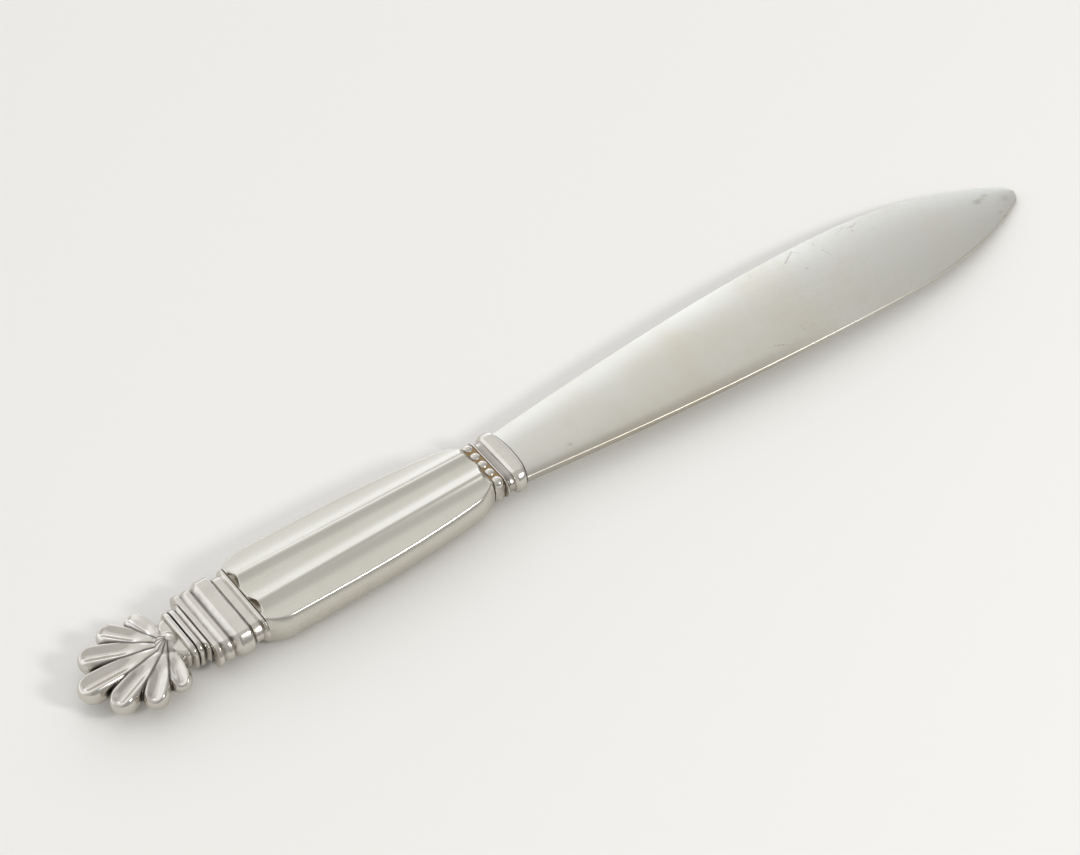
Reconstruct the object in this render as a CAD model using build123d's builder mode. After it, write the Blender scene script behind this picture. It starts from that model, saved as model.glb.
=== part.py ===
from build123d import *
import os
from math import cos, hypot, radians, sin, sqrt, tan

# Letter opener in silver: a leaf-shaped blade held in a hollow fluted handle, with a beaded neck,
# a moulded tail collar and a cast palmette finial.
# Millimetres. It lies on z = 0, with +X towards the blade's tip and the origin below its middle.

# Lengths along the opener
finial_length = 21.8
handle_length = 46.9
bead_row_length = 2.3
blade_length = 114.4

# Handle shells: heights are from the seam, half-widths are of the crisp edge round the fluted face
ridge_height = 4.1
tail_edge_height = 3.05
neck_edge_height = 2.7
side_bulge = 1.0
shell_wall = 0.7
tail_half_width = 6.4
widest_half_width = 8.2
front_half_width = 6.55
neck_half_width = 4.4
tail_shoulder_length = 4.5
neck_shoulder_length = 4.4
front_slope = 0.13
end_wall = 1.2
end_bevel_length = 0.8
end_bevel_height = 1.1

# Flutes along the face, with a narrow land on each of the two ridges between them
ridge_spacing_tail = 6.6
ridge_spacing_neck = 5.2
ridge_land = 0.7
middle_flute_depth = 0.55
outer_flute_depth = 0.3

# Tail collar: mouldings from the tail forward, cut into one rounded bar
collar_half_width = 8.2
collar_half_height = 3.0
collar_corner = 2.0
collar_groove_width = 0.25
collar_groove_depth = 0.8
rim_length, rim_inset, rim_round = 1.15, 0.25, 0.2
reed_length, reed_inset, reed_round = 1.75, 0.35, 0.4
band_length, band_inset, band_round = 3.4, 0.0, 0.6
lip_length, lip_inset, lip_round = 1.45, 0.75, 0.15
shoulder_length, shoulder_inset, shoulder_round = 1.15, 0.5, 0.3
collar_spigot_length = 4.0

# Bolster: a fillet beside the beads, a cove, and the band that the blade stands against
bolster_half_width = 6.55
bolster_half_height = 2.65
bolster_corner = 2.2
fillet_length, fillet_inset, fillet_round = 0.55, 0.2, 0.15
cove_length, cove_depth = 1.35, 0.75
neck_band_length, neck_band_inset, neck_band_round = 2.8, 0.0, 0.5
bolster_spigot_length = 4.0

# Spigots of the collar and the bolster, which stand inside the shells' ends
spigot_ledge = 0.4
spigot_wall = 0.8
spigot_corner = 0.8

# Beaded wire round the neck, with a row of beads on each face
bead_radius = 1.0
bead_sink = 0.5
bead_pitch = 2.2
beads_per_face = 5
wire_half_width = 5.45
wire_half_height = 2.35
wire_corner = 1.6
wire_length = 2.1

# Blade and its tang
blade_base_half_width = 5.8
blade_widest_half_width = 10.48
blade_widest_from_base = 71.4
blade_base_slope = 0.11
blade_tip_radius = 2.6
blade_tip_angle = 28.0
blade_base_thickness = 2.8
blade_tip_thickness = 0.84
blade_thinning_power = 2.0
blade_base_edge = 1.35
blade_tip_edge = 0.5
blade_straight_run = 44.4
tang_thickness = 1.6
tang_length = 25.0

# Finial: petals fan out from a heart, behind a waist that carries the tie
stem_half_width = 5.6
stem_half_height = 2.5
stem_length = 0.9
waist_half_width = 4.6
waist_half_height = 2.0
waist_corner = 1.2
tie_length = 2.2
tie_rise = 0.9
tie_round = 0.5
heart_from_collar = 4.9
heart_radius = 2.6
petal_base_radius = 0.9
petal_angles = [0.0, 23.0, 47.0, 74.0]
petal_lengths = [16.9, 14.9, 12.2, 9.2]
petal_radii = [2.5, 2.4, 2.25, 2.0]
peg_radius = 1.0
peg_depth_in_finial = 5.5

# Clearances
solder_gap = 0.03
cement_gap = 0.05

# Fits: the shells' hollow, the spigots inside its ends, and the tang inside the bolster's spigot
cavity_height = neck_edge_height - shell_wall
spigot_half_height = cavity_height - spigot_ledge
collar_spigot_half_width = tail_half_width - shell_wall - spigot_ledge
bolster_spigot_half_width = neck_half_width - shell_wall - spigot_ledge
tang_width = 2 * (bolster_spigot_half_width - spigot_wall)

# Places along X, and the seam's height
collar_parts = [
    (rim_length, rim_inset, rim_round),
    (reed_length, reed_inset, reed_round),
    (band_length, band_inset, band_round),
    (lip_length, lip_inset, lip_round),
    (shoulder_length, shoulder_inset, shoulder_round),
]
bolster_parts = [
    (fillet_length, fillet_inset, fillet_round),
    (neck_band_length, neck_band_inset, neck_band_round),
]
collar_length = sum(part[0] for part in collar_parts) + collar_groove_width * (len(collar_parts) - 1)
bolster_length = sum(part[0] for part in bolster_parts) + cove_length
overall_length = (
    finial_length + collar_length + handle_length + bead_row_length + bolster_length + blade_length
)
tail_x = -overall_length / 2
collar_x = tail_x + finial_length
handle_x = collar_x + collar_length
neck_x = handle_x + handle_length
bolster_x = neck_x + bead_row_length
blade_x = bolster_x + bolster_length
tip_x = blade_x + blade_length
seam_z = ridge_height


def section_plane(x: float) -> Plane:
    """Plane across the opener at x, its own axes along Y and Z from the seam."""
    return Plane(origin=(x, 0, seam_z), x_dir=(0, 1, 0), z_dir=(1, 0, 0))


def handle_outline(grow: float, tail_inset: float = 0, neck_inset: float = 0) -> Sketch:
    """Plan of the handle's crisp edge, grown sideways and drawn in at its two ends."""
    tail = handle_x + tail_inset
    neck = neck_x - neck_inset
    wide = handle_x + tail_shoulder_length + tail_inset
    front = neck_x - neck_shoulder_length - neck_inset
    third = (front - wide) / 3
    with BuildSketch() as outline:
        with BuildLine():
            Line((tail, 0), (tail, tail_half_width + grow))
            TangentArc(
                (wide, widest_half_width + grow), (tail, tail_half_width + grow), tangent=(-1, 0)
            )
            Bezier(
                (wide, widest_half_width + grow),
                (wide + third, widest_half_width + grow),
                (front - third, front_half_width + front_slope * third + grow),
                (front, front_half_width + grow),
            )
            TangentArc(
                (front, front_half_width + grow), (neck, neck_half_width + grow), tangent=(1, -front_slope)
            )
            Line((neck, neck_half_width + grow), (neck, 0))
            mirror(about=Plane.XZ)
        make_face()
    return outline.sketch


def flute_circles(ridge_half_spacing: float, edge_half_width: float, edge_height: float) -> list[tuple]:
    """Centre and radius of the three circles that hollow the flutes at one end of the face."""
    half_chord = ridge_half_spacing - ridge_land / 2
    middle_radius = (half_chord**2 + middle_flute_depth**2) / (2 * middle_flute_depth)
    inner_y = ridge_half_spacing + ridge_land / 2
    run = edge_half_width - inner_y
    drop = ridge_height - edge_height
    chord = hypot(run, drop)
    outer_radius = ((chord / 2) ** 2 + outer_flute_depth**2) / (2 * outer_flute_depth)
    reach = outer_radius - outer_flute_depth
    outer_y = inner_y + run / 2 + reach * drop / chord
    outer_z = ridge_height - drop / 2 + reach * run / chord
    return [
        (0, ridge_height - middle_flute_depth + middle_radius, middle_radius),
        (outer_y, outer_z, outer_radius),
        (-outer_y, outer_z, outer_radius),
    ]


def moulding_profile(start: float, parts: list, groove_width: float, groove_depth: float) -> list:
    """Points of (x, inset) along a row of rounded mouldings with a groove between each two."""
    points = []
    x = start
    for length, inset, rounding in parts:
        if points:
            points.append((x + groove_width / 4, groove_depth))
            points.append((x + groove_width * 3 / 4, groove_depth))
            x += groove_width
        points.append((x, inset + rounding))
        points.append((x + rounding, inset))
        points.append((x + length - rounding, inset))
        points.append((x + length, inset + rounding))
        x += length
    return points


def blade_half_width(x: float) -> float:
    """Half-width of the leaf at x, the cubic that its outline's two curves follow."""
    widest_x = blade_x + blade_widest_from_base
    if x <= widest_x:
        t = (x - blade_x) / blade_widest_from_base
        rise = blade_widest_half_width - blade_base_half_width
        swell = blade_base_slope * blade_widest_from_base * (t - 2 * t**2 + t**3)
        return blade_base_half_width + rise * (3 * t**2 - 2 * t**3) + swell
    t = min((x - widest_x) / (leaf_end_x - widest_x), 1)
    fall = blade_widest_half_width - leaf_end_y
    swell = tan(radians(blade_tip_angle)) * (leaf_end_x - widest_x) * (t**2 - t**3)
    return blade_widest_half_width - fall * (3 * t**2 - 2 * t**3) + swell


def bow(x: float) -> float:
    """How far the blade's middle drops below the seam at x, so that its tip meets the desk."""
    run = max(0, x - blade_x - blade_straight_run)
    full_run = blade_length - blade_straight_run
    return (seam_z - blade_tip_thickness / 2) * (run / full_run) ** 2


# Blade: a crowned slab that thins and bows towards the tip, cut to the leaf's outline
leaf_end_x = tip_x - blade_tip_radius * (1 - sin(radians(blade_tip_angle)))
leaf_end_y = blade_tip_radius * cos(radians(blade_tip_angle))
slab_margin = 0.6
slab_stations = [0, 0.2, 0.4, 0.6, 0.8, 1 + slab_margin / blade_length]

with BuildPart() as blade:
    for share in slab_stations:
        x = blade_x + share * blade_length
        half = blade_half_width(x) + slab_margin
        thinned = share**blade_thinning_power
        middle = (blade_base_thickness + thinned * (blade_tip_thickness - blade_base_thickness)) / 2
        edge = (blade_base_edge + share * (blade_tip_edge - blade_base_edge)) / 2
        with BuildSketch(section_plane(x)):
            with BuildLine():
                ThreePointArc((-half, edge - bow(x)), (0, middle - bow(x)), (half, edge - bow(x)))
                Line((half, edge - bow(x)), (half, -edge - bow(x)))
                ThreePointArc((half, -edge - bow(x)), (0, -middle - bow(x)), (-half, -edge - bow(x)))
                Line((-half, -edge - bow(x)), (-half, edge - bow(x)))
            make_face()
    loft()
    with BuildSketch(Plane.XY.offset(-slab_margin)):
        with BuildLine():
            widest_x = blade_x + blade_widest_from_base
            swell_third = blade_widest_from_base / 3
            taper_third = (leaf_end_x - widest_x) / 3
            Line((blade_x, 0), (blade_x, blade_base_half_width))
            Bezier(
                (blade_x, blade_base_half_width),
                (blade_x + swell_third, blade_base_half_width + blade_base_slope * swell_third),
                (widest_x - swell_third, blade_widest_half_width),
                (widest_x, blade_widest_half_width),
            )
            Bezier(
                (widest_x, blade_widest_half_width),
                (widest_x + taper_third, blade_widest_half_width),
                (leaf_end_x - taper_third, leaf_end_y + taper_third * tan(radians(blade_tip_angle))),
                (leaf_end_x, leaf_end_y),
            )
            ThreePointArc(
                (leaf_end_x, leaf_end_y),
                (tip_x, 0),
                (leaf_end_x, -leaf_end_y),
            )
            mirror(about=Plane.XZ)
        make_face()
    extrude(amount=2 * seam_z, mode=Mode.INTERSECT)
    with BuildSketch(section_plane(blade_x)):
        Rectangle(tang_width, tang_thickness)
    extrude(amount=-tang_length)

# Bolster: mouldings in front of the beads, a spigot through them into the handle, and the tang's slot
with BuildPart() as bolster:
    for x, inset in moulding_profile(bolster_x, bolster_parts, cove_length, cove_depth):
        with BuildSketch(section_plane(x)):
            RectangleRounded(
                2 * (bolster_half_width - inset), 2 * (bolster_half_height - inset), bolster_corner - inset
            )
    loft(ruled=True)
    with BuildSketch(section_plane(bolster_x)):
        RectangleRounded(2 * bolster_spigot_half_width, 2 * spigot_half_height, spigot_corner)
    extrude(amount=-bead_row_length - bolster_spigot_length)
    with BuildSketch(section_plane(blade_x)):
        Rectangle(tang_width + 2 * solder_gap, tang_thickness + 2 * solder_gap)
    extrude(amount=-tang_length, mode=Mode.SUBTRACT)

# Beaded wire: a flat ring on the bolster's spigot with beads half sunk in its faces
with BuildPart() as bead_wire:
    with BuildSketch(section_plane(neck_x + (bead_row_length - wire_length) / 2)):
        RectangleRounded(2 * wire_half_width, 2 * wire_half_height, wire_corner)
    extrude(amount=wire_length)
    for side in (1, -1):
        with Locations((neck_x + bead_row_length / 2, 0, seam_z + side * (wire_half_height - bead_sink))):
            with GridLocations(0, bead_pitch, 1, beads_per_face):
                Sphere(bead_radius)
    with BuildSketch(section_plane(neck_x)):
        RectangleRounded(
            2 * (bolster_spigot_half_width + solder_gap),
            2 * (spigot_half_height + solder_gap),
            spigot_corner + solder_gap,
        )
    extrude(amount=bead_row_length, mode=Mode.SUBTRACT)

# Handle shells: bulging sides, a face hollowed by three flutes, bevelled ends and a hollow for the cement
with BuildPart() as handle_front_half:
    for share in (0, 0.5, 1):
        with BuildSketch(Plane.XY.offset(seam_z + share * tail_edge_height)):
            add(handle_outline(side_bulge * (1 - share**2)))
    loft()
    with BuildSketch(Plane.XY.offset(seam_z + tail_edge_height)):
        add(handle_outline(0))
    extrude(amount=ridge_height - tail_edge_height)
    tail_circles = flute_circles(ridge_spacing_tail / 2, widest_half_width, tail_edge_height)
    neck_circles = flute_circles(ridge_spacing_neck / 2, front_half_width, neck_edge_height)
    for tail_circle, neck_circle in zip(tail_circles, neck_circles):
        for x, (y, z, radius) in ((handle_x, tail_circle), (neck_x, neck_circle)):
            with BuildSketch(section_plane(x)):
                with Locations((y, z)):
                    Circle(radius)
        loft(ruled=True, mode=Mode.SUBTRACT)
    bevel_z = seam_z + ridge_height
    for x, inward in ((handle_x, 1), (neck_x, -1)):
        with BuildSketch(Plane.XZ):
            with BuildLine():
                Polyline(
                    (x, bevel_z),
                    (x + inward * end_bevel_length, bevel_z),
                    (x, bevel_z - end_bevel_height),
                    close=True,
                )
            make_face()
        extrude(amount=widest_half_width, both=True, mode=Mode.SUBTRACT)
    with BuildSketch(Plane.XY.offset(seam_z)):
        add(handle_outline(-shell_wall, end_wall, end_wall))
    extrude(amount=cavity_height, mode=Mode.SUBTRACT)
    spigots = (
        (handle_x, end_wall, collar_spigot_half_width, spigot_half_height),
        (neck_x, -end_wall, bolster_spigot_half_width, spigot_half_height),
    )
    for x, depth, half_width, half_height in spigots:
        with BuildSketch(section_plane(x)):
            RectangleRounded(
                2 * (half_width + solder_gap), 2 * (half_height + solder_gap), spigot_corner + solder_gap
            )
        extrude(amount=depth, mode=Mode.SUBTRACT)

with BuildPart() as handle_back_half:
    mirror(handle_front_half.part, about=Plane.XY.offset(seam_z))

# Filling: cement between the two spigots, round the tang
with BuildPart() as handle_filling:
    with BuildSketch(Plane.XY.offset(seam_z)):
        add(
            handle_outline(
                -shell_wall - cement_gap, collar_spigot_length + cement_gap, bolster_spigot_length + cement_gap
            )
        )
    extrude(amount=cavity_height - cement_gap, both=True)
    with BuildSketch(section_plane(neck_x)):
        Rectangle(tang_width + 2 * cement_gap, tang_thickness + 2 * cement_gap)
    extrude(amount=blade_x - tang_length - cement_gap - neck_x, mode=Mode.SUBTRACT)

# Tail collar: mouldings, a spigot into the handle, and the peg's bore
with BuildPart() as tail_collar:
    for x, inset in moulding_profile(collar_x, collar_parts, collar_groove_width, collar_groove_depth):
        with BuildSketch(section_plane(x)):
            RectangleRounded(
                2 * (collar_half_width - inset), 2 * (collar_half_height - inset), collar_corner - inset
            )
    loft(ruled=True)
    with BuildSketch(section_plane(handle_x)):
        RectangleRounded(2 * collar_spigot_half_width, 2 * spigot_half_height, spigot_corner)
    extrude(amount=collar_spigot_length)
    with BuildSketch(section_plane(collar_x)):
        Circle(peg_radius + solder_gap)
    extrude(amount=collar_length + collar_spigot_length, mode=Mode.SUBTRACT)

# Finial: a stem and waist on the collar, and petals fanned about a heart
heart_x = collar_x - heart_from_collar

with BuildPart() as finial:
    with BuildSketch(section_plane(collar_x)):
        RectangleRounded(2 * stem_half_width, 2 * stem_half_height, waist_corner)
    with BuildSketch(section_plane(collar_x - stem_length)):
        RectangleRounded(2 * waist_half_width, 2 * waist_half_height, waist_corner)
    loft(ruled=True)
    with BuildSketch(section_plane(collar_x - stem_length)):
        RectangleRounded(2 * waist_half_width, 2 * waist_half_height, waist_corner)
    extrude(amount=stem_length - heart_from_collar)
    with Locations((heart_x, 0, seam_z)):
        Sphere(heart_radius)
    for angle, length, radius in zip(petal_angles, petal_lengths, petal_radii):
        end = length - radius
        lean = (radius - petal_base_radius) / end
        rise = sqrt(1 - lean**2)
        for side in sorted({angle, -angle}):
            along = (-cos(radians(side)), sin(radians(side)), 0)
            with BuildSketch(Plane(origin=(heart_x, 0, seam_z), x_dir=along, z_dir=(0, 0, 1))):
                with BuildLine():
                    Polyline((length, 0), (0, 0), (0, petal_base_radius), (end - radius * lean, radius * rise))
                    RadiusArc((end - radius * lean, radius * rise), (length, 0), radius)
                make_face()
            revolve(axis=Axis((heart_x, 0, seam_z), along))
    with BuildSketch(section_plane(collar_x)):
        Circle(peg_radius + solder_gap)
    extrude(amount=-peg_depth_in_finial - solder_gap, mode=Mode.SUBTRACT)

# Tie: a rounded band with a groove round its middle, on the finial's waist
with BuildPart() as finial_tie:
    tie_x = collar_x - stem_length - tie_length - solder_gap
    tie_parts = [((tie_length - tie_round) / 2, 0, tie_round / 2)] * 2
    for x, inset in moulding_profile(tie_x, tie_parts, tie_round, tie_round):
        with BuildSketch(section_plane(x)):
            RectangleRounded(
                2 * (waist_half_width + tie_rise - inset),
                2 * (waist_half_height + tie_rise - inset),
                waist_corner + tie_rise - inset,
            )
    loft(ruled=True)
    with BuildSketch(section_plane(tie_x)):
        RectangleRounded(
            2 * (waist_half_width + solder_gap), 2 * (waist_half_height + solder_gap), waist_corner + solder_gap
        )
    extrude(amount=tie_length, mode=Mode.SUBTRACT)

# Peg: from the finial through the collar and its spigot
with BuildPart() as finial_peg:
    with BuildSketch(section_plane(collar_x - peg_depth_in_finial)):
        Circle(peg_radius)
    extrude(amount=peg_depth_in_finial + collar_length + collar_spigot_length)

pieces = {
    "blade": blade,
    "bolster": bolster,
    "bead_wire": bead_wire,
    "handle_front_half": handle_front_half,
    "handle_back_half": handle_back_half,
    "handle_filling": handle_filling,
    "tail_collar": tail_collar,
    "finial": finial,
    "finial_tie": finial_tie,
    "finial_peg": finial_peg,
}
os.makedirs("parts", exist_ok=True)
for name, piece in pieces.items():
    piece.part.label = name
    export_step(piece.part, f"parts/{name}.step")
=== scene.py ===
"""Silver letter opener: fine meshes and finishes for each visible piece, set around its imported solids."""

import logging
import math
from collections.abc import Callable
from dataclasses import dataclass
from enum import Enum

import bmesh
import bpy
import numpy as np
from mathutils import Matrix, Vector
from mathutils.bvhtree import BVHTree


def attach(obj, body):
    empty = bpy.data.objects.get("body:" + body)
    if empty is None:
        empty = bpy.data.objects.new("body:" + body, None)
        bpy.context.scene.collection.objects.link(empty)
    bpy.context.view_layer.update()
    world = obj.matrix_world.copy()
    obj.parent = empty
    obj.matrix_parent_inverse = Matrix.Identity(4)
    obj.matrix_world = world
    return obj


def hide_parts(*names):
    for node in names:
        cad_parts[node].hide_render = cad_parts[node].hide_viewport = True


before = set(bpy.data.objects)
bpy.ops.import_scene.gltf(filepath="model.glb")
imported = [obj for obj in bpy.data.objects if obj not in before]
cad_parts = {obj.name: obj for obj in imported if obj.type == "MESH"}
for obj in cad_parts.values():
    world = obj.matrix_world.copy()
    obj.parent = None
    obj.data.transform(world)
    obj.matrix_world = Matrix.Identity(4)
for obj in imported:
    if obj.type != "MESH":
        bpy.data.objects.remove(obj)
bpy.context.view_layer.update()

MM = 0.001
SEAM_Z = 4.1
SHARP_ANGLE = math.radians(45)

# Fineness of the sections: points on a corner, a face and a side.
ROUND_CORNER, ROUND_FACE, ROUND_SIDE = 13, 23, 7
BARREL_CORNER, BARREL_FACE, BARREL_SIDE = 6, 25, 14

Span = tuple[float, float]
Socket = bpy.types.NodeSocket

log = logging.getLogger("letter_opener")


class Slot(Enum):
    """Material slots of the record."""

    BLADE = "blade_silver"
    STRUCK = "struck_silver"
    CAST = "cast_silver"
    CEMENT = "cement"


class Half(Enum):
    """The two shells of the handle, by the side of the seam they lie on."""

    FRONT = 1
    BACK = -1


def linear(colour: str) -> tuple[float, float, float, float]:
    """Turns an sRGB hex colour into linear light.

    Args:
        colour: six hex digits after a hash sign.

    Returns:
        Red, green, blue and an alpha of one.
    """
    parts = [int(colour[i : i + 2], 16) / 255 for i in (1, 3, 5)]
    red, green, blue = (c / 12.92 if c <= 0.04045 else ((c + 0.055) / 1.055) ** 2.4 for c in parts)
    return red, green, blue, 1.0


def blank_material(name: str) -> bpy.types.Material:
    """Makes a material with an empty node tree.

    Args:
        name: the material's name.

    Returns:
        The material.
    """
    material = bpy.data.materials.new(name)
    material.use_nodes = True
    material.node_tree.nodes.clear()
    return material


def add_node(
    tree: bpy.types.NodeTree, kind: str, inputs: dict | None = None, out: int | str = 0, **settings
) -> Socket | None:
    """Adds a node, with its settings and what goes into its sockets.

    Args:
        tree: the tree that the node joins.
        kind: Blender's name for the type of node.
        inputs: values or other nodes' outputs, by the socket's name or number.
        out: the output that is wanted, by its name or number.
        settings: properties of the node itself.

    Returns:
        That output, or None where the node has none.
    """
    node = tree.nodes.new(kind)
    for name, value in settings.items():
        setattr(node, name, value)
    for name, value in (inputs or {}).items():
        if isinstance(value, Socket):
            tree.links.new(value, node.inputs[name])
        else:
            node.inputs[name].default_value = value
    return node.outputs[out] if node.outputs else None


def place_in_mm(tree: bpy.types.NodeTree) -> Socket:
    """Gives the place on the object in millimetres, for patterns of a real size."""
    place = add_node(tree, "ShaderNodeTexCoord", out="Object")
    return add_node(tree, "ShaderNodeVectorMath", {0: place, "Scale": 1 / MM}, operation="SCALE")


def fade(span: Span, start: float, end: float) -> dict[int, float]:
    """Gives a map range's socket values for going from start to end over a span."""
    return {1: span[0], 2: span[1], 3: start, 4: end}


def smooth_step(low: float, high: float, value: np.ndarray) -> np.ndarray:
    """Rises from 0 at low to 1 at high with level ends."""
    share = np.clip((value - low) / (high - low), 0, 1)
    return share * share * (3 - 2 * share)


def between(rise: Span, fall: Span, value: np.ndarray) -> np.ndarray:
    """Rises from 0 to 1 over one span and falls back to 0 over another."""
    return smooth_step(*rise, value) * (1 - smooth_step(*fall, value))


def blend(start: float | np.ndarray, end: float | np.ndarray, share: float | np.ndarray) -> np.ndarray:
    """Goes from start to end as the share goes from 0 to 1."""
    return start + share * (end - start)


def bent(t: float | np.ndarray, first: np.ndarray, corner: np.ndarray, last: np.ndarray) -> np.ndarray:
    """Curves from a first point to a last one, drawn towards a corner."""
    return (1 - t) ** 2 * first + 2 * t * (1 - t) * corner + t**2 * last


@dataclass
class Shape:
    """Points in millimetres from the seam's height, and the faces on them."""

    points: np.ndarray
    faces: list[tuple[int, ...]]

    def joined(self, other: "Shape") -> "Shape":
        """Puts two shapes in one list of points.

        Args:
            other: the shape that follows this one.

        Returns:
            Both as one shape.
        """
        start = len(self.points)
        moved = [tuple(i + start for i in face) for face in other.faces]
        return Shape(np.vstack([self.points, other.points]), self.faces + moved)

    def flipped(self) -> "Shape":
        """Mirrors the shape across the seam."""
        return Shape(self.points * (1, 1, -1), [face[::-1] for face in self.faces])

    def mesh(self, name: str) -> bpy.types.Mesh:
        """Makes a Blender mesh of the shape, in metres above the desk.

        Args:
            name: the mesh's name.

        Returns:
            The mesh, shaded smooth but for its sharp edges.
        """
        mesh = bpy.data.meshes.new(name)
        placed = (self.points + (0, 0, SEAM_Z)) * MM
        mesh.from_pydata(placed.tolist(), [], self.faces)
        mesh.validate()
        mesh.shade_smooth()
        mesh.set_sharp_from_angle(angle=SHARP_ANGLE)
        return mesh


def ball(radius: float, subdivisions: int = 4) -> Shape:
    """Makes a fine ball about the middle of the seam.

    Args:
        radius: the ball's radius.
        subdivisions: how often its faces are divided.

    Returns:
        The ball.
    """
    made = bmesh.new()
    bmesh.ops.create_icosphere(made, subdivisions=subdivisions, radius=radius)
    points = np.array([vertex.co[:] for vertex in made.verts])
    faces = [tuple(vertex.index for vertex in face.verts) for face in made.faces]
    made.free()
    return Shape(points, faces)


def at_x(x: float, ring: np.ndarray) -> np.ndarray:
    """Stands a ring of (y, z) points at a place along the opener."""
    return np.column_stack([np.full(len(ring), x), ring])


def sweep(rings: np.ndarray) -> Shape:
    """Skins a row of closed rings and closes its two ends.

    Args:
        rings: rows of points, each ring turning from +Y to +Z and the rows going along +X.

    Returns:
        The closed shape.
    """
    rows, count = rings.shape[:2]
    index = np.arange(rows * count).reshape(rows, count)
    after = np.roll(index, -1, axis=1)
    quads = np.stack([index[:-1], after[:-1], after[1:], index[1:]], axis=-1).reshape(-1, 4)
    faces = [tuple(quad) for quad in quads.tolist()]
    faces += [tuple(index[0][::-1].tolist()), tuple(index[-1].tolist())]
    return Shape(rings.reshape(-1, 3), faces)


def rounded_ring(half_width: float, half_height: float, corner: float) -> np.ndarray:
    """Draws a rounded rectangle across the opener.

    Args:
        half_width: half its size along Y.
        half_height: half its size along Z.
        corner: radius of its corners.

    Returns:
        Points of (y, z), turning from +Y to +Z.
    """
    flat, upright = half_width - corner, half_height - corner
    turn = np.linspace(0, math.pi / 2, ROUND_CORNER)
    quarter = np.column_stack([np.cos(turn), np.sin(turn)]) * corner
    along = np.linspace(1, -1, ROUND_FACE + 2)[1:-1]
    up = np.linspace(-1, 1, ROUND_SIDE + 2)[1:-1]
    right = np.column_stack([np.full_like(up, half_width), up * upright])
    top = np.column_stack([along * flat, np.full_like(along, half_height)])
    upper = quarter + (flat, upright)
    far = np.vstack([upper[::-1] * (1, -1), right, upper])
    return np.vstack([far, top, -far, -top])


def barrel_ring(half_width: float, half_height: float, side: float, corner: float) -> np.ndarray:
    """Draws a section with flat faces, sides that bulge out to the seam and small corners between them.

    Args:
        half_width: half its size along Y, at the seam.
        half_height: half its size along Z.
        side: how much narrower the flat faces are than the seam, at each side.
        corner: how far the curve of a corner reaches along both lines.

    Returns:
        Points of (y, z), turning from +Y to +Z.
    """
    up = np.linspace(0, 1 - corner / half_height, BARREL_SIDE)
    wall = np.column_stack([half_width - side * up**2, up * half_height])
    peak = np.array([half_width - side, half_height])
    t = np.linspace(0, 1, BARREL_CORNER + 1)[1:, None]
    upper = np.vstack([wall, bent(t, wall[-1], peak, peak - (corner, 0))])
    along = np.linspace(1, -1, BARREL_FACE + 2)[1:-1]
    top = np.column_stack([along * upper[-1, 0], np.full_like(along, half_height)])
    right = np.vstack([upper[:0:-1] * (1, -1), upper])
    return np.vstack([right, top, -right, -top])


def moulded(profile: list[Span], section: Callable[[float], np.ndarray]) -> np.ndarray:
    """Stacks the rings that section draws at each inset along a profile of (x, inset) points."""
    return np.array([at_x(x, section(inset)) for x, inset in profile])


def eased(points: list[Span], radius: float, steps: int = 5) -> list[Span]:
    """Rounds the corners of a profile, as polishing does.

    Args:
        points: the profile's corners.
        radius: how far from a corner its curve starts.
        steps: parts of each curve.

    Returns:
        The rounded profile, with its two ends kept.
    """
    made = [points[0]]
    for before, here, after in zip(points, points[1:], points[2:]):
        a, b, c = (np.array(p) for p in (before, here, after))
        start = b + (a - b) * min(0.5, radius / np.linalg.norm(a - b))
        end = b + (c - b) * min(0.5, radius / np.linalg.norm(c - b))
        made += [tuple(bent(t, start, b, end)) for t in np.linspace(0, 1, steps + 1)]
    return made + [points[-1]]


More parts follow.
